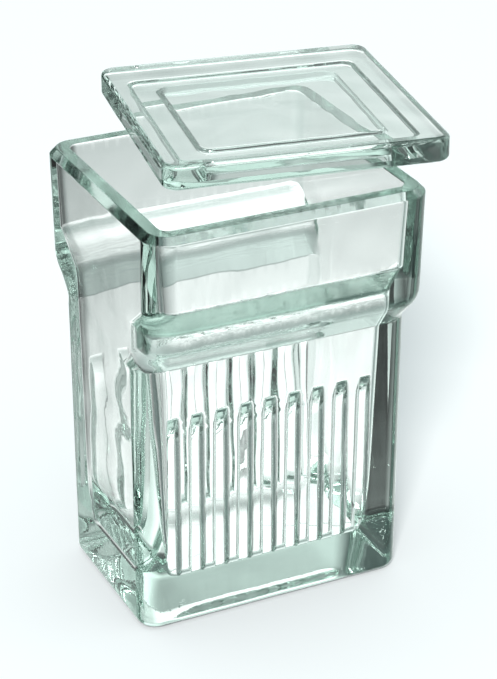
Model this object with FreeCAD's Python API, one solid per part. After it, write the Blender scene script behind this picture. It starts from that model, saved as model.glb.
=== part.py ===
import FreeCAD, Part
import math
import os
from FreeCAD import Vector

# Slide staining jar with a deeper upper part and a loose lid, pressed glass. Millimetres.
# Origin: middle of the underside of the jar. X along the width, Y along the depth, +Z up.
# The long walls (front and back, facing -Y and +Y) carry the slide ribs and the shoulder.

# ---- slides that the jar is made for ------------------------------------------------------
slide_width = 26.0
slide_clearance = 1.4        # total, between the bottoms of two facing grooves, at the floor

# ---- jar, from the bottom up --------------------------------------------------------------
floor_thickness = 8.7
rib_height = 36.3            # floor to the top end of the ribs
plain_height = 12.1          # top end of the ribs to the foot of the shoulder
extension_height = 20.9      # top of the shoulder to the rim

rim_width = 58.0
rim_depth = 54.0
rim_wall = 3.9               # flat ground rim and its chamfer together
rim_chamfer = 1.35
body_wall = 5.2              # long wall of the lower body, at the floor
extension_corner = 5.2       # outer upright edges of the upper part
body_corner = 4.2            # outer upright edges of the lower body
base_radius = 1.8            # edge of the underside

outer_draft = 0.2            # degrees, short walls, and long walls of the lower body
extension_draft = 2.4        # degrees, long walls of the upper part, inside and outside
plunger_draft = 1.85         # degrees, inside of the short walls
groove_draft = 1.0           # degrees, inside of the long walls of the lower body

shoulder_lean = 45.0         # degrees between the shoulder's slope and the upright
shoulder_radius = 6.0        # where the shoulder leaves the upper part
ledge_rise = 4.4             # the inner ledge starts this far above the outer shoulder
ledge_lean = 51.0            # degrees between the inner ledge and the upright
ledge_radius = 1.2           # where the inside of the upper part meets the ledge
ledge_lip_radius = 3.0       # where the ledge turns down into the lower body
cavity_corner_radius = 2.0   # upright edges of the inside
floor_radius = 2.4           # between the floor and the long walls
toe_in = 1.6                 # the short walls curve in by this much down to the floor
toe_height = 13.0            # height over which they do

# ---- slide ribs ---------------------------------------------------------------------------
rib_root = 3.0               # width where the rib leaves the wall
rib_tip = 2.3                # width at its tip
rib_reach = 2.3              # how far it stands out of the wall
rib_slot = 2.2               # between two ribs at the wall, for two slides back to back
rib_end_radius = 10.0        # the top end curves back to the wall in an arc of this radius
rib_draft = 0.4              # degrees, the flanks close in by this towards the top
rib_edge_radius = 0.35
rib_bedding = 1.5            # how deep a rib is sunk into the wall and the floor

# ---- lid ----------------------------------------------------------------------------------
lid_reach_x = -0.8           # past each side of the rim; below zero, it stands in
lid_reach_y = 0.8            # past the front and the back of the rim
lid_thickness = 5.0
lid_corner_radius = 3.2
lid_top_radius = 1.0
lid_bottom_radius = 0.8
ridge_clearance = 1.4        # all round, between the ridge and the mouth of the jar
ridge_height = 2.4           # the ridge under the lid that keeps it from sliding off
ridge_width_x = 5.4          # of its two short runs, where they leave the lid
ridge_width_y = 4.4          # of its two long runs
ridge_draft = 6.0            # degrees, both sides of the ridge
ridge_corner_radius = 2.2
ridge_edge_radius = 0.6

# where the lid has been laid: on the rim, turned and pushed back and to the right
lid_shift_x = 12.6
lid_shift_y = 10.2
lid_turn = -9.8              # degrees about Z
lid_seat_gap = 0.05          # between the ridge and the ground rim that it lies on


# ---- worked out from the above ------------------------------------------------------------
def run_out(height, degrees):
    """Sideways run over a height of a wall that leans by an angle."""
    return height * math.tan(math.radians(degrees))


spare = 5.0                  # how far the cutting bodies reach past what they cut
tiny = 1e-4                  # two levels closer than this are one level

rib_top_z = floor_thickness + rib_height
shoulder_foot_z = rib_top_z + plain_height
groove_half = (slide_width + slide_clearance) / 2
body_half = groove_half + body_wall
foot_half = body_half + run_out(shoulder_foot_z - floor_thickness, outer_draft)
neck_half = rim_depth / 2 - run_out(extension_height, extension_draft)
shoulder_break_z = shoulder_foot_z + (neck_half - foot_half) / run_out(1, shoulder_lean)
shoulder_top_z = shoulder_break_z + run_out(shoulder_radius, shoulder_lean / 2)
jar_height = shoulder_top_z + extension_height

mouth_half_width = rim_width / 2 - rim_wall
mouth_half_depth = rim_depth / 2 - rim_wall
floor_half_width = mouth_half_width - run_out(jar_height - floor_thickness, plunger_draft)
rib_end_height = math.sqrt(2 * rib_end_radius * rib_reach - rib_reach ** 2)


# ---- helpers -----------------------------------------------------------------------------
def rounded_wire(points, radii):
    """Closed wire through the points, each corner rounded by its own radius (0 stays sharp)."""
    count = len(points)
    ends = []
    for i, (corner, radius) in enumerate(zip(points, radii)):
        if radius <= 0:
            ends.append((corner, None, corner))
            continue
        back = (points[i - 1] - corner).normalize()
        ahead = (points[(i + 1) % count] - corner).normalize()
        half = back.getAngle(ahead) / 2
        reach = radius / math.tan(half)
        crest = corner + (back + ahead).normalize() * (radius / math.sin(half) - radius)
        ends.append((corner + back * reach, crest, corner + ahead * reach))
    edges = []
    for i, (start, crest, end) in enumerate(ends):
        if crest is not None:
            edges.append(Part.Arc(start, crest, end).toShape())
        following = ends[(i + 1) % count][0]
        if (following - end).Length > tiny:
            edges.append(Part.LineSegment(end, following).toShape())
    return Part.Wire(Part.__sortEdges__(edges))


def rectangle_wire(half_x, half_y, z, radius):
    corners = [
        Vector(-half_x, -half_y, z),
        Vector(half_x, -half_y, z),
        Vector(half_x, half_y, z),
        Vector(-half_x, half_y, z),
    ]
    return rounded_wire(corners, [radius] * 4)


def prism(wire, direction):
    return Part.Face(wire).extrude(direction)


def polygon_prism(points, direction):
    return prism(Part.makePolygon(points + points[:1]), direction)


def along_width(side):
    """Block whose section across the width is the (y, z, radius) side and its mirror image."""
    outline = side + [(-y, z, radius) for y, z, radius in reversed(side)]
    points = [Vector(-rim_width / 2, y, z) for y, z, radius in outline]
    radii = [radius for y, z, radius in outline]
    return prism(rounded_wire(points, radii), Vector(rim_width, 0, 0))


def between_side_walls(solid, half_low, low, half_high, high):
    """Keeps what lies between two short walls, given by half their distance at two levels."""
    outline = [
        Vector(-half_low, -rim_depth, low),
        Vector(half_low, -rim_depth, low),
        Vector(half_high, -rim_depth, high),
        Vector(-half_high, -rim_depth, high),
    ]
    return solid.common(polygon_prism(outline, Vector(0, 2 * rim_depth, 0)))


def climbing_edges(shape):
    return [edge for edge in shape.Edges if edge.BoundBox.ZMax - edge.BoundBox.ZMin > tiny]


def level_edges(shape, z):
    found = []
    for edge in shape.Edges:
        box = edge.BoundBox
        if abs(box.ZMin - z) < tiny and abs(box.ZMax - z) < tiny:
            found.append(edge)
    return found


# ---- outside of the jar ------------------------------------------------------------------
def side_half(z):
    """Half the width of the jar at a height."""
    return rim_width / 2 - run_out(jar_height - z, outer_draft)


def upper_block():
    low, high = shoulder_foot_z, jar_height
    side = [
        (foot_half, low, 0),
        (neck_half, shoulder_break_z, shoulder_radius),
        (rim_depth / 2, high, 0),
    ]
    block = between_side_walls(along_width(side), side_half(low), low, side_half(high), high)
    block = block.makeFillet(extension_corner, climbing_edges(block))
    return block.makeChamfer(rim_chamfer, level_edges(block, high))


def lower_block():
    """Lower body, run up into the shoulder far enough to be one with it."""
    low, high = 0, shoulder_foot_z + body_corner / 2
    side = [
        (body_half - run_out(floor_thickness, outer_draft), low, 0),
        (foot_half + run_out(high - shoulder_foot_z, outer_draft), high, 0),
    ]
    block = between_side_walls(along_width(side), side_half(low), low, side_half(high), high)
    block = block.makeFillet(body_corner, climbing_edges(block))
    return block.makeFillet(base_radius, level_edges(block, low))


# ---- inside of the jar -------------------------------------------------------------------
def hollow():
    top_z = jar_height + spare
    ledge_z = shoulder_top_z + ledge_rise
    ledge_half = mouth_half_depth - run_out(jar_height - ledge_z, extension_draft)
    # the lip is where the slope of the ledge meets the wall that holds the grooves
    wall_at_ledge = groove_half + run_out(ledge_z - floor_thickness, groove_draft)
    lip_drop = (ledge_half - wall_at_ledge) / (run_out(1, ledge_lean) - run_out(1, groove_draft))
    lip_z = ledge_z - lip_drop
    side = [
        (groove_half, floor_thickness, floor_radius),
        (wall_at_ledge - run_out(lip_drop, groove_draft), lip_z, ledge_lip_radius),
        (ledge_half, ledge_z, ledge_radius),
        (mouth_half_depth + run_out(spare, extension_draft), top_z, 0),
    ]
    space = along_width(side).common(between_short_walls(top_z))
    return space.makeFillet(cavity_corner_radius, climbing_edges(space))


def between_short_walls(top_z):
    """Block along Y that fills the width of the inside; its sides curve in towards the floor."""
    toe_z = floor_thickness + toe_height
    foot_half = floor_half_width - toe_in
    wall_half = floor_half_width + run_out(toe_height, plunger_draft)
    # the arc leaves the wall almost without a bend, so half way down it is a quarter of the toe in
    middle_half = floor_half_width + run_out(toe_height / 2, plunger_draft) - toe_in / 4
    top_half = mouth_half_width + run_out(top_z - jar_height, plunger_draft)
    edges = []
    for face in (-1, 1):
        foot = Vector(face * foot_half, -rim_depth, floor_thickness)
        middle = Vector(face * middle_half, -rim_depth, floor_thickness + toe_height / 2)
        wall = Vector(face * wall_half, -rim_depth, toe_z)
        edges.append(Part.Arc(foot, middle, wall).toShape())
        edges.append(Part.LineSegment(wall, Vector(face * top_half, -rim_depth, top_z)).toShape())
    for half, z in ((foot_half, floor_thickness), (top_half, top_z)):
        edges.append(
            Part.LineSegment(Vector(-half, -rim_depth, z), Vector(half, -rim_depth, z)).toShape()
        )
    return prism(Part.Wire(Part.__sortEdges__(edges)), Vector(0, 2 * rim_depth, 0))


# ---- ribs --------------------------------------------------------------------------------
def rib_side(face):
    """Outline of a rib seen along X: crest up from the floor, then an arc back to the wall."""
    tip_half = groove_half - rib_reach
    bottom_z = floor_thickness - rib_bedding
    arc_z = rib_top_z - rib_end_height
    turn = math.asin(rib_end_height / rib_end_radius) / 2
    crest_half = tip_half + run_out(rib_height - rib_end_height, groove_draft)
    wall_half = crest_half + rib_reach
    middle = (
        crest_half + rib_end_radius * (1 - math.cos(turn)),
        arc_z + rib_end_radius * math.sin(turn),
    )
    sunk = groove_half + run_out(rib_height, groove_draft) + rib_bedding
    points = [
        (wall_half, rib_top_z),
        (sunk, rib_top_z),
        (sunk, bottom_z),
        (tip_half - run_out(rib_bedding, groove_draft), bottom_z),
        (crest_half, arc_z),
    ]
    points = [Vector(0, face * y, z) for y, z in points]
    edges = [Part.LineSegment(start, end).toShape() for start, end in zip(points, points[1:])]
    edges.append(Part.Arc(points[-1], Vector(0, face * middle[0], middle[1]), points[0]).toShape())
    return Part.Wire(Part.__sortEdges__(edges))


def rib(x, face):
    """One rib at x on the wall towards face (-1 front, +1 back), from the floor up."""
    blade = prism(rib_side(face), Vector(2 * rib_root, 0, 0))
    blade.translate(Vector(x - rib_root, 0, 0))
    # plan of the rib, its flanks carried on past the wall and past the tip
    narrowing = (rib_root - rib_tip) / 2 / rib_reach
    outer_half = rib_root / 2 + narrowing * spare
    inner_half = rib_tip / 2 - narrowing * rib_bedding
    inner_y = groove_half - rib_reach - rib_bedding

    def plan(z):
        less = run_out(z - floor_thickness, rib_draft)
        points = [
            Vector(x - outer_half + less, face * (groove_half + spare), z),
            Vector(x + outer_half - less, face * (groove_half + spare), z),
            Vector(x + inner_half - less, face * inner_y, z),
            Vector(x - inner_half + less, face * inner_y, z),
        ]
        return Part.makePolygon(points + points[:1])

    solid = blade.common(Part.makeLoft([plan(0), plan(jar_height)], True, True))
    tip_edges = [
        edge for edge in climbing_edges(solid)
        if abs(edge.CenterOfMass.y) < groove_half - rib_reach / 2
        and edge.BoundBox.XMax - edge.BoundBox.XMin < rib_tip / 2
    ]
    return solid.makeFillet(rib_edge_radius, tip_edges)


def ribs():
    """As many ribs as the floor has room for, on both long walls."""
    pitch = rib_root + rib_slot
    count = int((2 * floor_half_width - rib_root) // pitch) + 1
    first = -pitch * (count - 1) / 2
    return [rib(first + i * pitch, face) for face in (-1, 1) for i in range(count)]


def jar():
    shell = upper_block().fuse(lower_block()).cut(hollow())
    return shell.multiFuse(ribs()).removeSplitter()


# ---- lid ---------------------------------------------------------------------------------
def tapered_block(half_x, half_y, radius, top, bottom, grow):
    """Block of the given half sizes at z = 0, whose sides lean out by grow for each mm down."""
    def level(z):
        more = -z * grow
        return rectangle_wire(half_x + more, half_y + more, z, radius + more)
    return Part.makeLoft([level(bottom), level(top)], True)


def lid_ridge():
    """Ridge under the lid, a closed ring that hangs in the mouth when the lid is straight."""
    lean = run_out(1, ridge_draft)
    outer_x = mouth_half_width - ridge_clearance
    outer_y = mouth_half_depth - ridge_clearance
    rooted = lid_thickness / 2   # the ring is carried up into the lid
    ring = tapered_block(outer_x, outer_y, ridge_corner_radius, rooted, -ridge_height, -lean)
    inner = tapered_block(
        outer_x - ridge_width_x, outer_y - ridge_width_y, ridge_corner_radius, 0, -spare, lean
    )
    ring = ring.cut(inner)
    return ring.makeFillet(ridge_edge_radius, level_edges(ring, -ridge_height))


def lid():
    half_x = rim_width / 2 + lid_reach_x
    half_y = rim_depth / 2 + lid_reach_y
    slab = prism(rectangle_wire(half_x, half_y, 0, lid_corner_radius), Vector(0, 0, lid_thickness))
    slab = slab.makeFillet(lid_top_radius, level_edges(slab, lid_thickness))
    slab = slab.makeFillet(lid_bottom_radius, level_edges(slab, 0))
    body = slab.fuse(lid_ridge()).removeSplitter()
    body.rotate(Vector(0, 0, 0), Vector(0, 0, 1), lid_turn)
    body.translate(Vector(lid_shift_x, lid_shift_y, jar_height + lid_seat_gap + ridge_height))
    return body


os.makedirs("parts", exist_ok=True)
for name, shape in (("jar", jar()), ("lid", lid())):
    volume = round(shape.Volume / 1000, 2)
    print(name, shape.isValid(), len(shape.Solids), "solids", volume, "cm3", shape.BoundBox)
    shape.exportStep(f"parts/{name}.step")
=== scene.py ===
import math

import bpy
import numpy as np
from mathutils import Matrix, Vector


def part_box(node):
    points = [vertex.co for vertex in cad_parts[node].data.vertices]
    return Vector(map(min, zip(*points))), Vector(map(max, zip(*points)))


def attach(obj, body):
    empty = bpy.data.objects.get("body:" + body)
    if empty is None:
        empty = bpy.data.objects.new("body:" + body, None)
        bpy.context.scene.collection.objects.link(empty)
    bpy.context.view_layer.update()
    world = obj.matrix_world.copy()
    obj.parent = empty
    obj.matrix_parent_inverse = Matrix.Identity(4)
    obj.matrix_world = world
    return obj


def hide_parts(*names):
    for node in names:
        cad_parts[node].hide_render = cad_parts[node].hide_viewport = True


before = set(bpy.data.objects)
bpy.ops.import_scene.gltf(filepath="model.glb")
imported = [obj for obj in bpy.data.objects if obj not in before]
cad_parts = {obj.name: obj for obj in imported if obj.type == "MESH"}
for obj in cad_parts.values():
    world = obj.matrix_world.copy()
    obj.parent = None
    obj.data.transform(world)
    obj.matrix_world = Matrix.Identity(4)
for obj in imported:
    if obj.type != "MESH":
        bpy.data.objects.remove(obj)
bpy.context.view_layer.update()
mm = 0.001
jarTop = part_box("jar")[1][2] / mm
lidLow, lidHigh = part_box("lid")
scene = bpy.context.scene
print("frame loaded")


# a line through corner points, each corner turned into an arc of its radius: the arc touches
# both sides at radius / tan(half angle) from the corner; straight runs are cut every step
def roundedLine(corners, radii, step, arcSteps=5):
    corners = np.array(corners, float)
    pieces = [corners[:1]]
    for before, corner, after, radius in zip(corners, corners[1:], corners[2:], radii):
        back = (before - corner) / np.linalg.norm(before - corner)
        ahead = (after - corner) / np.linalg.norm(after - corner)
        half = math.acos(np.clip(back @ ahead, -1, 1)) / 2
        middle = corner + (back + ahead) / np.linalg.norm(back + ahead) * radius / math.sin(half)
        first = corner + back * radius / math.tan(half) - middle
        last = corner + ahead * radius / math.tan(half) - middle
        t = np.linspace(0, 1, arcSteps + 1)[:, None]
        turn = math.pi - 2 * half
        arc = middle + (first * np.sin((1 - t) * turn) + last * np.sin(t * turn)) / math.sin(turn)
        pieces.append(arc)
    pieces.append(corners[-1:])
    line = [pieces[0]]
    for arc in pieces[1:]:
        start, end = line[-1][-1], arc[0]
        cuts = max(1, math.ceil(np.linalg.norm(end - start) / step))
        line.append(start + (end - start) * np.linspace(0, 1, cuts + 1)[1:-1, None])
        line.append(arc)
    return np.concatenate(line)


# closed mesh from rings of points, rings[row, column]: each face joins two neighbours on one ring to
# the same two on the next, and fans close the first and last rings on their poles
def closedMesh(name, rings, firstPole, lastPole):
    rows, columns, _ = rings.shape
    points = np.concatenate([rings.reshape(-1, 3), [firstPole, lastPole]])
    index = np.arange(rows * columns).reshape(rows, columns)
    beside = np.roll(index, -1, axis=1)
    quads = np.stack([index[:-1], beside[:-1], beside[1:], index[1:]], axis=-1).reshape(-1, 4)
    firstFan = np.stack([beside[0], index[0], np.full(columns, rows * columns)], axis=-1)
    lastFan = np.stack([index[-1], beside[-1], np.full(columns, rows * columns + 1)], axis=-1)
    mesh = bpy.data.meshes.new(name)
    faces = quads.tolist() + firstFan.tolist() + lastFan.tolist()
    mesh.from_pydata((points * mm).tolist(), [], faces)
    mesh.shade_smooth()
    mesh.update()
    piece = bpy.data.objects.new(name, mesh)
    scene.collection.objects.link(piece)
    piece.modifiers.new("flatFacesStayFlat", "WEIGHTED_NORMAL").mode = "FACE_AREA"
    return piece


# uneven surface of pressed glass, for rings of points: each point moves inwards along the normal by
# depth * (1 + mean of sine waves) / 2, waves of about the given length in all directions
def uneven(rings, depth, length, seed, share=1.0, waves=9, slowest=0.6, fastest=1.5):
    chance = np.random.default_rng(seed)
    ways = chance.normal(size=(waves, 3))
    ways *= 2 * math.pi / length / np.linalg.norm(ways, axis=1, keepdims=True)
    ways *= chance.uniform(slowest, fastest, size=(waves, 1))
    swell = np.sin(rings @ ways.T + chance.uniform(0, 2 * math.pi, waves)).sum(axis=-1)
    swell = np.clip(swell / math.sqrt(2 * waves), -1, 1)
    across = np.roll(rings, -1, axis=1) - np.roll(rings, 1, axis=1)
    normal = np.cross(across, np.gradient(rings, axis=0))
    normal /= np.maximum(np.linalg.norm(normal, axis=-1, keepdims=True), 1e-9)
    return rings - normal * (depth * share * (1 + swell) / 2)[..., None]


# four walls and four corners in order round the section, from one quarter of it: the quarter's
# points run from the middle of the front wall to the middle of the right side, as x and y > 0
def aroundFromQuarter(x, y):
    right = np.stack([x, -y], axis=-1)
    back = np.stack([x, y], axis=-1)[:, ::-1]
    left = np.stack([-x, y], axis=-1)
    front = np.stack([-x, -y], axis=-1)[:, ::-1]
    return np.concatenate([right, back[:, 1:], left[:, 1:], front[:, 1:-1]], axis=1)


# pressed jar, millimetres; half sizes are measured from the middle planes
jar = dict(
    rimHalfWidth=29.0, rimHalfDepth=27.0, rimWall=3.9, rimChamfer=1.35, rimEdge=0.25,
    extensionCorner=5.2, bodyCorner=4.2, insideCorner=2.0, baseRadius=1.8,
    floor=8.7, floorRadius=2.4, floorCorner=0.4, toeIn=1.6, toeHeight=13.0,
    hollow=0.4, footShare=0.92, hollowShare=0.55,  # depth underneath, from and to these shares
    shoulderFoot=57.1, footHalfDepth=19.07, bodyHalfDepth=18.87,
    neckHalfDepth=26.12, shoulderBreak=64.15, footRadius=0.5, shoulderRadius=6.0, notchHeight=2.1,
    ledge=71.0, ledgeLean=51.0, ledgeRadius=1.2, lipRadius=3.0, grooveHalf=13.7,
    outerDraft=0.2, extensionDraft=2.4, plungerDraft=1.85, grooveDraft=1.0,
    ribs=9, ribPitch=5.2, ribRoot=3.0, ribTip=2.3, ribReach=2.3, ribEdge=0.35, ribTop=45.0,
    ribEndRadius=10.0, ribDraft=0.4, lastRibClear=1.3,
    swell=dict(depth=0.05, length=11.0, seed=3), swellInside=dict(depth=0.06, length=9.0, seed=5),
    swellBelowRim=2.0, swellFade=4.0,
    stepHalfX=24.0, stepHalfY=24.6, stepFrom=61.0, stepTo=71.8, groundMargin=0.1,
    cornerSteps=10, sideSteps=4, turnSteps=7, chamferSteps=4, insideSteps=6, ribEndSteps=10,
    rowStep=2.0, ribStep=1.2, leastStep=0.001, steepest=0.78, tipCloser=1.3,
    underShares=(0.05, 0.2, 0.35, 0.48, 0.56, 0.62, 0.68, 0.74, 0.8, 0.86, 0.92, 0.97),
    floorShares=(1, 0.9, 0.7, 0.45, 0.2, 0.05),
)

# a row of the jar's surface, column by column: half sizes, half axes of the corner, height, how far
# the ribs stand out (0 to 1), scale towards the middle, share of the body's own rounder corner, the
# plane that the ribs stand out from, and how much narrower each of their flanks is
columns = (
    "halfX", "halfY", "cornerX", "cornerY", "height", "reach", "scale", "notch", "ribPlane", "less",
)
at = {name: number for number, name in enumerate(columns)}


# sideways run over a height of a wall that leans by an angle: height * tan(angle)
def runOut(height, degrees):
    return height * math.tan(math.radians(degrees))


# half of the ribbed wall, from the middle outwards: x and how far the glass stands out there
def ribbedWall(s):
    centres = s["ribPitch"] * np.arange(s["ribs"] // 2 + 1)
    corners, radii = [(0, s["ribReach"])], []
    for centre in centres:
        if centre > 0:
            corners += [(centre - s["ribRoot"] / 2, 0), (centre - s["ribTip"] / 2, s["ribReach"])]
        corners += [(centre + s["ribTip"] / 2, s["ribReach"]), (centre + s["ribRoot"] / 2, 0)]
        radii += [s["ribEdge"]] * (4 if centre > 0 else 2)
    end = centres[-1] + s["ribRoot"] / 2 + 0.05
    corners.append((end + 0.5, 0))  # lets the last root turn; cut off again below
    line = roundedLine(corners, radii, s["ribStep"], arcSteps=3)
    return line[line[:, 0] < end - 0.3].T


# ribs drawn in by "less" on each flank: |offset| from the rib's middle shrinks in proportion up to
# the root, and the slot between two ribs takes up what that leaves
def drawnIn(x, less, s):
    centre = s["ribPitch"] * np.round(x / s["ribPitch"])
    offset, root, middle = x - centre, s["ribRoot"] / 2, s["ribPitch"] / 2
    onRib = np.abs(offset) * (1 - less / root)
    onSlot = root - less + (np.abs(offset) - root) * (middle - root + less) / (middle - root)
    return centre + np.sign(offset) * np.where(np.abs(offset) < root, onRib, onSlot)


# sections of the jar, all rows at once. Wall: y = half depth, less the rib; corner: a quarter of an
# ellipse that starts where the last rib ends; side: straight. A rib stands out from its own plane.
def jarRings(rows, s):
    halfX, halfY, cornerX, cornerY, z, reach, scale, notch, ribPlane, less = (
        column[:, None] for column in rows.T
    )
    apart = 0.02  # least distance between two points, so that no face has an edge of no length
    wallX, rib = ribbedWall(s)
    wallX = drawnIn(wallX[None], less, s)
    buried = wallX > halfX - apart
    wallX = np.minimum(wallX, halfX - apart)
    arcX = np.clip((wallX - (halfX - cornerX)) / cornerX, 0, 0.999)
    wallY = halfY - cornerY * (1 - np.sqrt(1 - arcX ** 2))
    tip = ribPlane - reach * s["ribReach"]
    wallY = np.minimum(wallY, ribPlane - reach * rib[None])
    wallY = np.where(buried, np.minimum(wallY, tip), wallY)
    start = np.arcsin(np.clip((wallX[:, -1:] + apart - (halfX - cornerX)) / cornerX, 0, 0.98))
    angle = start + (math.pi / 2 - start) * np.linspace(0, 1, s["cornerSteps"] + 1)[None]
    turnX = halfX - cornerX * (1 - np.sin(angle))
    turnY = halfY - cornerY * (1 - np.cos(angle))
    turnY = np.where(buried[:, -1:], np.minimum(turnY, tip), turnY)
    # the lower body's own rounder corner, run up into the foot of the shoulder
    bodyY = np.clip(turnY - (s["footHalfDepth"] - s["bodyCorner"]), 0, s["bodyCorner"])
    bodyX = halfX - s["bodyCorner"] + np.sqrt(s["bodyCorner"] ** 2 - bodyY ** 2)
    turnX = turnX + notch * np.where(turnY < s["footHalfDepth"], np.maximum(bodyX - turnX, 0), 0)
    sideY = turnY[:, -1:] * np.linspace(1, 0, s["sideSteps"] + 1)[None, 1:]
    x = np.concatenate([wallX, turnX, np.repeat(halfX, s["sideSteps"], 1)], axis=1)
    y = np.concatenate([wallY, turnY, sideY], axis=1)
    plan = aroundFromQuarter(x * scale, y * scale)
    height = np.repeat(z[:, :, None], plan.shape[1], axis=1)
    return np.concatenate([plan, height], axis=2)


# every ring of the jar in order: underside, outside, rim, inside, floor. Half depths are read off the
# long wall's rounded section line at each height; a short wall leans by height * tan(draft), and
# inside curves in at its foot
def jarRows(s):
    high = jarTop

    # outside: long wall's line, with the base's radius and the rim's chamfer taken off all round
    lean = roundedLine(
        [(s["bodyHalfDepth"], 0), (s["footHalfDepth"], s["shoulderFoot"]),
         (s["neckHalfDepth"], s["shoulderBreak"]), (s["rimHalfDepth"], high)],
        [s["footRadius"], s["shoulderRadius"]], s["rowStep"], s["turnSteps"],
    )
    slope = np.gradient(lean[:, 0]) / np.hypot(*np.gradient(lean, axis=0).T)
    longer = 1 / np.sqrt(1 - slope ** 2)  # a corner cut through a slope is an ellipse
    turn = np.linspace(0, math.pi / 2, s["turnSteps"])
    chamfer = roundedLine(
        [(0, high - s["rimChamfer"] - 1), (0, high - s["rimChamfer"]),
         (s["rimChamfer"], high), (s["rimChamfer"] + 1, high)],
        [s["rimEdge"], s["rimEdge"]], s["rowStep"], s["chamferSteps"],
    )[1:-1]
    body = lean[(lean[:, 1] > s["baseRadius"] + 0.5) & (lean[:, 1] < chamfer[0, 1] - 0.3), 1]
    z = np.concatenate([s["baseRadius"] * (1 - np.cos(turn)), body, chamfer[:, 1]])
    inset = np.concatenate([s["baseRadius"] * (1 - np.sin(turn)), body * 0, chamfer[:, 0]])
    halfX = s["rimHalfWidth"] - runOut(high - z, s["outerDraft"]) - inset
    halfY = np.interp(z, lean[:, 1], lean[:, 0]) - inset
    stretch = np.interp(z, lean[:, 1], longer)
    above = z > s["shoulderFoot"] - 0.05
    corner = np.where(above, s["extensionCorner"], s["bodyCorner"]) - inset
    notch = np.clip(s["shoulderFoot"] + s["notchHeight"] - z, 0, 1) * above
    one, none = np.ones_like(z), np.zeros_like(z)
    outside = np.stack([halfX, halfY, corner, corner * stretch, z, none, one, notch, halfY, none], 1)

    # underside: a flat foot all round, and inside it the slight hollow of the mould's bottom plate
    share = np.array(s["underShares"])
    under = np.repeat(outside[:1], len(share), axis=0)
    under[:, at["scale"]] = share
    rise = np.clip((s["footShare"] - share) / (s["footShare"] - s["hollowShare"]), 0, 1)
    under[:, at["height"]] = s["hollow"] * rise ** 2 * (3 - 2 * rise)

    # inside, from the rim down to the floor
    mouth = s["rimHalfDepth"] - s["rimWall"]
    ledgeHalf = mouth - runOut(high - s["ledge"], s["extensionDraft"])
    atLedge = s["grooveHalf"] + runOut(s["ledge"] - s["floor"], s["grooveDraft"])
    drop = (ledgeHalf - atLedge) / (runOut(1, s["ledgeLean"]) - runOut(1, s["grooveDraft"]))
    lipHalf = atLedge - runOut(drop, s["grooveDraft"])
    line = roundedLine(
        [(mouth + 1, high), (mouth, high), (ledgeHalf, s["ledge"]), (lipHalf, s["ledge"] - drop),
         (s["grooveHalf"], s["floor"]), (s["grooveHalf"] - 3, s["floor"])],
        [s["rimEdge"], s["ledgeRadius"], s["lipRadius"], s["floorRadius"]],
        s["rowStep"], s["insideSteps"],
    )[1:-1]
    line = line[line[:, 0] > s["grooveHalf"] - s["floorRadius"] - 0.01]
    endHeight = math.sqrt(2 * s["ribEndRadius"] * s["ribReach"] - s["ribReach"] ** 2)
    # rows lie closer together at the ribs' tips, where the arc is steepest
    endRows = s["ribTop"] - endHeight * np.linspace(0, 1, s["ribEndSteps"]) ** s["tipCloser"]
    zs = np.unique(np.concatenate([line[:, 1], endRows, [s["ribTop"] + 0.3]]))[::-1]
    zs = zs[np.concatenate([[True], -np.diff(zs) > s["leastStep"]])]
    halfY = np.interp(-zs, -line[:, 1], line[:, 0])
    slope = np.abs(np.gradient(halfY)) / np.hypot(np.gradient(halfY), np.gradient(zs))
    stretch = 1 / np.sqrt(1 - np.clip(slope, 0, s["steepest"]) ** 2)
    edge = np.clip(halfY - mouth, 0, None) * (zs > high - 1)
    # the short walls curve in at their foot on an arc that leaves the wall without a bend
    toeRadius = (s["toeHeight"] ** 2 + s["toeIn"] ** 2) / (2 * s["toeIn"])
    toe = np.clip(s["floor"] + s["toeHeight"] - zs, 0, None)
    toe = toeRadius - np.sqrt(toeRadius ** 2 - toe ** 2)
    halfX = s["rimHalfWidth"] - s["rimWall"] - runOut(high - zs, s["plungerDraft"]) + edge - toe
    corner = s["insideCorner"] + edge
    # the ribs' upper ends curve back to the wall on an arc
    past = np.clip(zs - (s["ribTop"] - endHeight), 0, endHeight)
    reach = 1 - (s["ribEndRadius"] - np.sqrt(s["ribEndRadius"] ** 2 - past ** 2)) / s["ribReach"]
    reach = np.where(zs < s["ribTop"] + 0.01, reach, 0)
    one = np.ones_like(zs)
    stretch = np.where((zs > s["floor"] + s["floorRadius"] + 0.5) & (zs < high - 1), stretch, 1)
    groove = s["grooveHalf"] + runOut(zs - s["floor"], s["grooveDraft"])
    ribPlane = np.where(zs < s["ribTop"] + 1, groove, halfY)
    less = runOut(np.minimum(zs, s["ribTop"]) - s["floor"], s["ribDraft"])
    inside = np.stack([halfX, halfY, corner * one, corner * stretch, zs, reach, one, one * 0,
                       ribPlane, less], 1)

    # floor: first straight past the ribs, then in to the middle
    flat = inside[-1].copy()
    flat[at["halfY"]] = flat[at["ribPlane"]] = s["grooveHalf"] - s["ribReach"] - s["lastRibClear"]
    flat[at["cornerX"]] = flat[at["cornerY"]] = s["floorCorner"]
    flat[at["reach"]] = 0
    shrink = np.array(s["floorShares"])
    floorRows = np.repeat(flat[None], len(shrink), axis=0)
    floorRows[:, at["scale"]] = shrink
    return np.concatenate([under, outside, inside, floorRows])


rows = jarRows(jar)
rings = jarRings(rows, jar)
inner = np.arange(len(rings)) > np.argmax(rows[:, at["height"]])
# the rim is ground flat, so the swells fade out below it
fade = np.clip((jarTop - jar["swellBelowRim"] - rings[..., 2]) / jar["swellFade"], 0, 1)
rings = uneven(rings, share=fade * ~inner[:, None], **jar["swell"])
rings = uneven(rings, share=fade * inner[:, None], **jar["swellInside"])
jarGlass = closedMesh("jarGlass", rings, (0, 0, jar["hollow"]), (0, 0, jar["floor"]))
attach(jarGlass, "root")
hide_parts("jar")
print("jar", rings.shape)


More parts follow.
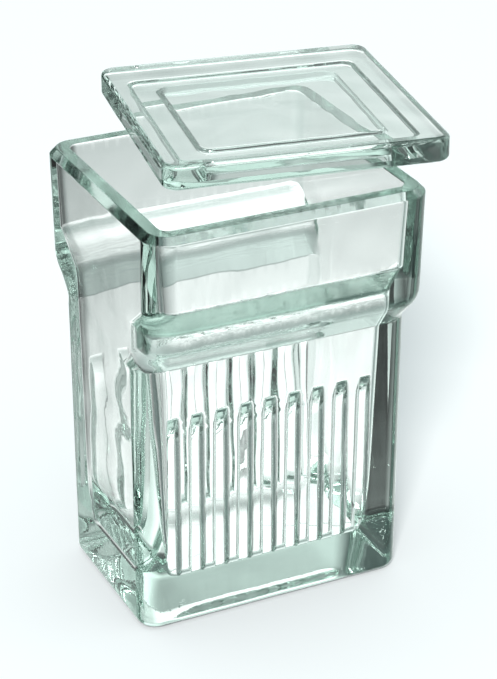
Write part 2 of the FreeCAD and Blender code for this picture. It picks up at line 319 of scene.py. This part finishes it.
# loose lid, millimetres, in its own frame: underside of the flange at z = 0
lid = dict(
    halfWidth=28.2, halfDepth=27.8, thickness=5.0, turn=-9.8, corner=3.2, topEdge=1.0, bottomEdge=0.8,
    ridgeOuter=(23.7, 21.7), ridgeInner=(18.3, 17.3), ridgeHeight=2.4, ridgeDraft=6.0,
    ridgeCorner=2.2, ridgeEdge=0.6, ridgeFoot=0.35, leastCorner=1.0,
    edgeBand=1.5, ridgeBand=0.6,  # bands along the edge and before the ridge that keep their width
    swell=dict(depth=0.05, length=9.0, seed=8),
    cornerSteps=10, wallSteps=16, edgeSteps=6, sectionStep=1.5, shares=(0.06, 0.3, 0.6, 0.85),
)


# rings of rounded rectangles: each row gives half sizes, corner radius and height. A quarter goes
# straight to the corner, round it by half size - radius * (1 - sine or cosine), and straight on
def lidRings(rows, s):
    halfX, halfY, corner, z = (column[:, None] for column in rows.T)
    along = np.linspace(0, 1, s["wallSteps"] + 1)[None, :-1]
    angle = np.linspace(0, math.pi / 2, s["cornerSteps"] + 1)[None]
    x = np.concatenate([(halfX - corner) * along, halfX - corner * (1 - np.sin(angle)),
                        np.repeat(halfX, s["wallSteps"], 1)], axis=1)
    y = np.concatenate([np.repeat(halfY, s["wallSteps"], 1), halfY - corner * (1 - np.cos(angle)),
                        (halfY - corner) * (1 - along - 1 / s["wallSteps"])], axis=1)
    plan = aroundFromQuarter(x, y)
    return np.concatenate([plan, np.repeat(z[:, :, None], plan.shape[1], axis=1)], axis=2)


# the lid's section as (how far in from the edge, height), from the middle of the underside round
# the ridge and the edge to the middle of the top
def lidRows(s):
    outer = s["halfWidth"] - s["ridgeOuter"][0]
    inner = s["halfWidth"] - s["ridgeInner"][0]
    lean = runOut(s["ridgeHeight"], s["ridgeDraft"])
    past, onTop = 3, 5  # flat runs that the section keeps past the ridge and on the top
    line = roundedLine(
        [(inner + past, 0), (inner, 0), (inner - lean, -s["ridgeHeight"]),
         (outer + lean, -s["ridgeHeight"]), (outer, 0), (0, 0), (0, s["thickness"]),
         (onTop, s["thickness"])],
        [s["ridgeFoot"], s["ridgeEdge"], s["ridgeEdge"], s["ridgeFoot"], s["bottomEdge"],
         s["topEdge"]],
        s["sectionStep"], s["edgeSteps"],
    )
    away, z = line.T
    # the ridge lies further in from the front and back edges than from the sides
    below = z < s["bottomEdge"]
    band = s["edgeBand"]
    knots = [0, band, outer - s["ridgeBand"], outer, inner, inner + past]
    frontOuter = s["halfDepth"] - s["ridgeOuter"][1]
    frontInner = s["halfDepth"] - s["ridgeInner"][1]
    frontKnots = [0, band, frontOuter - s["ridgeBand"], frontOuter, frontInner, frontInner + past]
    awayFront = np.where(below, np.interp(away, knots, frontKnots), away)
    cornerBelow = [s["corner"], s["corner"] - band, s["ridgeCorner"]]
    corner = np.where(below, np.interp(away, [0, band, outer], cornerBelow),
                      np.clip(s["corner"] - away, s["leastCorner"], None))
    rows = np.stack([s["halfWidth"] - away, s["halfDepth"] - awayFront, corner, z], axis=1)
    shrink = np.array(s["shares"])[:, None] * [[1, 1, 1, 0]] + [[0, 0, 0, 1]]  # height stays
    return np.concatenate([rows[:1] * shrink, rows, rows[-1:] * shrink[::-1]])


# the lid as it lies askew on the rim: a turn about the upright axis, then a move to its seat
def onTheRim(points, s):
    turn = math.radians(s["turn"])
    cosine, sine = math.cos(turn), math.sin(turn)
    around = np.array([[cosine, -sine, 0], [sine, cosine, 0], [0, 0, 1]])
    middle = (np.array(lidLow) + np.array(lidHigh)) / 2 / mm
    seat = np.array([middle[0], middle[1], lidHigh[2] / mm - s["thickness"]])
    return np.asarray(points) @ around.T + seat


lidRingSet = uneven(lidRings(lidRows(lid), lid), **lid["swell"])
lidGlass = closedMesh(
    "lidGlass", onTheRim(lidRingSet, lid),
    onTheRim([0, 0, 0], lid), onTheRim([0, 0, lid["thickness"]], lid),
)
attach(lidGlass, "root")
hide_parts("lid")
print("lid", lidRingSet.shape)


# sRGB hex colour as linear red, green, blue, alpha, by the sRGB curve: a straight foot, then a power
def toLinear(hexColour):
    values = [int(hexColour[i:i + 2], 16) / 255 for i in (1, 3, 5)]
    return tuple(v / 12.92 if v <= 0.04045 else ((v + 0.055) / 1.055) ** 2.4 for v in values) + (1.0,)


# adds a node, sets its inputs and properties, and links inputs that are given as sockets
def addNode(tree, kind, inputs, **settings):
    node = tree.nodes.new(kind)
    for name, value in settings.items():
        setattr(node, name, value)
    for name, value in inputs.items():
        if isinstance(value, bpy.types.NodeSocket):
            tree.links.new(value, node.inputs[name])
        else:
            node.inputs[name].default_value = value
    return node


# soda-lime glass pressed in a mould: clear in thin walls and mint green where light travels far
# through it; the mould's chilled skin leaves faint ripples and a fine grain
glass = dict(
    tint="#b4dccd", density=12.0, ior=1.52, roughness=0.0,
    rippleLength=4.0, rippleHeight=0.006, grainLength=1.1, grainHeight=0.0006,
    groundRoughness=0.14, stepRoughness=0.03, streakWidth=0.7, streakStretch=7.0, streakHeight=0.07,
)


# 1 inside a box of (axis, limit in millimetres, comparison) measured from the middle planes, else 0
def insideBox(tree, away, limits):
    share = 1.0
    for axis, limit, side in limits:
        within = addNode(tree, "ShaderNodeMath", {
            0: away.outputs[axis], 1: limit * mm,
        }, operation=side).outputs[0]
        share = addNode(tree, "ShaderNodeMath", {
            0: share, 1: within,
        }, operation="MULTIPLY").outputs[0]
    return share


# clear glass with a rippled skin. Roughness = the moulded skin's, plus that of the ground rim above
# rimFrom, plus that of the band which the plunger's step leaves inside stepBox, where the bump also
# has streaks drawn out sideways
def pressedGlass(name, s, rimFrom=None, stepBox=None):
    material = bpy.data.materials.new(name)
    material.use_nodes = True
    tree = material.node_tree
    tree.nodes.clear()
    place = addNode(tree, "ShaderNodeTexCoord", {}).outputs["Object"]
    ripple = addNode(tree, "ShaderNodeTexNoise", {
        "Vector": place, "Scale": 1 / (s["rippleLength"] * mm), "Detail": 1.0, "Roughness": 0.4,
    })
    grain = addNode(tree, "ShaderNodeTexNoise", {
        "Vector": place, "Scale": 1 / (s["grainLength"] * mm), "Detail": 2.0, "Roughness": 0.5,
    })
    skin = addNode(tree, "ShaderNodeBump", {
        "Strength": 1.0, "Distance": s["rippleHeight"] * mm, "Height": ripple.outputs[0],
    })
    skin = addNode(tree, "ShaderNodeBump", {
        "Strength": 1.0, "Distance": s["grainHeight"] * mm, "Height": grain.outputs[0],
        "Normal": skin.outputs["Normal"],
    })
    rough = s["roughness"]
    if rimFrom:
        away = addNode(tree, "ShaderNodeSeparateXYZ", {
            0: addNode(tree, "ShaderNodeVectorMath", {0: place}, operation="ABSOLUTE").outputs[0],
        })
        ground = insideBox(tree, away, [("Z", rimFrom, "GREATER_THAN")])
        step = insideBox(tree, away, stepBox)
        rough = addNode(tree, "ShaderNodeMath", {
            0: ground, 1: s["groundRoughness"], 2: rough,
        }, operation="MULTIPLY_ADD").outputs[0]
        rough = addNode(tree, "ShaderNodeMath", {
            0: step, 1: s["stepRoughness"], 2: rough,
        }, operation="MULTIPLY_ADD").outputs[0]
        drawnOut = addNode(tree, "ShaderNodeMapping", {
            "Vector": place, "Scale": (1 / s["streakStretch"], 1, 1),
        })
        streak = addNode(tree, "ShaderNodeTexNoise", {
            "Vector": drawnOut.outputs[0], "Scale": 1 / (s["streakWidth"] * mm),
            "Detail": 3.0, "Roughness": 0.6,
        })
        skin = addNode(tree, "ShaderNodeBump", {
            "Strength": step, "Distance": s["streakHeight"] * mm, "Height": streak.outputs[0],
            "Normal": skin.outputs["Normal"],
        })
    surface = addNode(tree, "ShaderNodeBsdfPrincipled", {
        "Base Color": (1, 1, 1, 1), "Roughness": rough, "IOR": s["ior"],
        "Transmission Weight": 1.0, "Normal": skin.outputs["Normal"],
    })
    body = addNode(tree, "ShaderNodeVolumeAbsorption", {
        "Color": toLinear(s["tint"]), "Density": s["density"],
    })
    addNode(tree, "ShaderNodeOutputMaterial", {
        "Surface": surface.outputs["BSDF"], "Volume": body.outputs["Volume"],
    })
    return material


# the jar's rim is ground, while the lid is as it left the mould
jarGlass.data.materials.append(pressedGlass(
    "jarPressedSodaLime", glass, jarTop - jar["rimChamfer"] - jar["groundMargin"],
    [("X", jar["stepHalfX"], "LESS_THAN"), ("Y", jar["stepHalfY"], "LESS_THAN"),
     ("Z", jar["stepFrom"], "GREATER_THAN"), ("Z", jar["stepTo"], "LESS_THAN")],
))
lidGlass.data.materials.append(pressedGlass("lidPressedSodaLime", glass))
print("glass", [material.name for material in bpy.data.materials])


# metres, degrees and watts, with lens and sensor in millimetres; azimuths go from the back to the
# right, seen from above
studio = dict(
    floorHalf=3.0, floorDrop=0.0003, paperColour="#edeeee", paperGlow="#535b5c",
    room="#4b635f", skyLight="#c6d0d1", skyStrength=1.0,
    cameraAt=(-0.17547, -0.37150, 0.25656), cameraYaw=25.67, cameraPitch=26.68,
    lens=122.77113, sensor=36.0, nearest=0.01,
    lampAway=6.0, lampAzimuth=211.5, lampHeight=40.0, lampSize=1.2, lampPower=302.0,
    bounces=24, reflections=12,
)
# soft boxes and white boards: brightness, tightness, azimuth, elevation, colour
boards = [
    (1.42, 40.0, 27, -37, "#ffffff"),
    (0.95, 9.0, 74, -56, "#f2fffb"),
    (1.10, 26.0, 350, -36, "#ffffff"),
    (1.30, 60.0, 329, -38, "#ffffff"),
    (0.40, 40.0, 155, -33, "#ffffff"),
    (1.75, 6.2, 71, 30, "#f2fffb"),
    (2.26, 10.8, 182, 54, "#f2fffb"),
    (0.85, 12.0, 28, 17, "#f2fffb"),
    (0.70, 7.0, 215, -16, "#f2fffb"),
    (0.50, 16.0, 62, -33, "#ffffff"),
    (0.12, 60.0, 24, -18, "#ffffff"),
    (0.40, 12.0, 300, -5, "#ffffff"),
    (0.45, 6.0, 162, -12, "#ffffff"),
]
# black flags: share of the light taken away, tightness, azimuth, elevation
flags = [
    (1.00, 36.0, 328, -25),
    (0.85, 6.1, 262, 2),
    (0.90, 8.0, 338, 2),
    (0.80, 60.0, 355, -24),
    (0.60, 16.0, 30, 46),
]

half, drop = studio["floorHalf"], studio["floorDrop"]
floorMesh = bpy.data.meshes.new("floor")
floorMesh.from_pydata(
    [(-half, -half, -drop), (half, -half, -drop), (half, half, -drop), (-half, half, -drop)],
    [], [(0, 1, 2, 3)],
)
floor = bpy.data.objects.new("floor", floorMesh)
scene.collection.objects.link(floor)
floor.visible_glossy = False
floor.visible_transmission = False

# pale paper that takes the jar's shadow, with a faint glow that lifts it to the white of the backdrop
paper = bpy.data.materials.new("paperFloor")
paper.use_nodes = True
tree = paper.node_tree
tree.nodes.clear()
diffuse = addNode(tree, "ShaderNodeBsdfDiffuse", {"Color": toLinear(studio["paperColour"])})
glow = addNode(tree, "ShaderNodeEmission", {"Color": toLinear(studio["paperGlow"]), "Strength": 1.0})
lit = addNode(tree, "ShaderNodeAddShader", {0: diffuse.outputs[0], 1: glow.outputs[0]})
addNode(tree, "ShaderNodeOutputMaterial", {"Surface": lit.outputs[0]})
floorMesh.materials.append(paper)

# the room round the jar, as the glass shows it: the plain room, plus every board's light, times what
# each flag leaves of it. The camera sees plain white, and the floor gets an even light
world = bpy.data.worlds.new("studio")
scene.world = world
world.use_nodes = True
tree = world.node_tree
tree.nodes.clear()
path = addNode(tree, "ShaderNodeLightPath", {})
direction = addNode(tree, "ShaderNodeTexCoord", {}).outputs["Generated"]


# direction of length 1: sine and cosine of the azimuth times the elevation's cosine, then its sine
def towards(azimuth, elevation):
    azimuth, elevation = math.radians(azimuth), math.radians(elevation)
    return (math.sin(azimuth) * math.cos(elevation), math.cos(azimuth) * math.cos(elevation),
            math.sin(elevation))


# the falloff round one board or flag: strength * exp(tightness * (cosine of the angle to it - 1))
def softSpot(strength, tightness, azimuth, elevation):
    cosine = addNode(tree, "ShaderNodeVectorMath", {
        0: direction, 1: towards(azimuth, elevation),
    }, operation="DOT_PRODUCT")
    power = addNode(tree, "ShaderNodeMath", {
        0: cosine.outputs["Value"], 1: tightness, 2: -tightness,
    }, operation="MULTIPLY_ADD")
    spot = addNode(tree, "ShaderNodeMath", {0: power.outputs[0]}, operation="EXPONENT")
    return addNode(tree, "ShaderNodeMath", {
        0: spot.outputs[0], 1: strength,
    }, operation="MULTIPLY").outputs[0]


colour = toLinear(studio["room"])[:3]
for *board, hexColour in boards:
    light = addNode(tree, "ShaderNodeVectorMath", {
        0: toLinear(hexColour)[:3], "Scale": softSpot(*board),
    }, operation="SCALE").outputs[0]
    colour = addNode(tree, "ShaderNodeVectorMath", {0: colour, 1: light}, operation="ADD").outputs[0]
left = 1.0
for flag in flags:
    kept = addNode(tree, "ShaderNodeMath", {
        0: 1.0, 1: softSpot(*flag),
    }, operation="SUBTRACT").outputs[0]
    left = addNode(tree, "ShaderNodeMath", {0: left, 1: kept}, operation="MULTIPLY").outputs[0]
seen = addNode(tree, "ShaderNodeMath", {
    0: path.outputs["Is Glossy Ray"], 1: path.outputs["Is Transmission Ray"],
}, operation="MAXIMUM")
room = addNode(tree, "ShaderNodeBackground", {"Color": colour, "Strength": left})
even = addNode(tree, "ShaderNodeBackground", {
    "Color": toLinear(studio["skyLight"]), "Strength": studio["skyStrength"],
})
plain = addNode(tree, "ShaderNodeBackground", {"Color": (1, 1, 1, 1), "Strength": 1.0})
byGlass = addNode(tree, "ShaderNodeMixShader", {
    0: seen.outputs[0], 1: even.outputs[0], 2: room.outputs[0],
})
shown = addNode(tree, "ShaderNodeMixShader", {
    0: path.outputs["Is Camera Ray"], 1: byGlass.outputs[0], 2: plain.outputs[0],
})
addNode(tree, "ShaderNodeOutputWorld", {"Surface": shown.outputs[0]})

# one soft lamp a little to the left of the camera and above it
lamp = bpy.data.objects.new("softLamp", bpy.data.lights.new("softLamp", "AREA"))
lamp.data.size = studio["lampSize"]
lamp.data.energy = studio["lampPower"]
toLamp = Vector(towards(studio["lampAzimuth"], studio["lampHeight"]))
lamp.location = toLamp * studio["lampAway"]
lamp.rotation_mode = "QUATERNION"
lamp.rotation_quaternion = (-toLamp).to_track_quat("-Z", "Y")
scene.collection.objects.link(lamp)

camera = bpy.data.objects.new("camera", bpy.data.cameras.new("camera"))
scene.collection.objects.link(camera)
scene.camera = camera
camera.data.sensor_width = studio["sensor"]
camera.data.lens = studio["lens"]
camera.data.clip_start = studio["nearest"]
ahead = Vector(towards(studio["cameraYaw"], -studio["cameraPitch"]))
camera.location = studio["cameraAt"]
camera.rotation_mode = "QUATERNION"
camera.rotation_quaternion = ahead.to_track_quat("-Z", "Y")
print("studio", len(boards), "boards", len(flags), "flags")

scene.view_settings.view_transform = "Standard"
# light goes many times to and fro inside the ribs before it leaves the glass
scene.cycles.max_bounces = studio["bounces"]
scene.cycles.transmission_bounces = studio["bounces"]
scene.cycles.glossy_bounces = studio["reflections"]
scene.cycles.caustics_refractive = False
scene.cycles.caustics_reflective = False
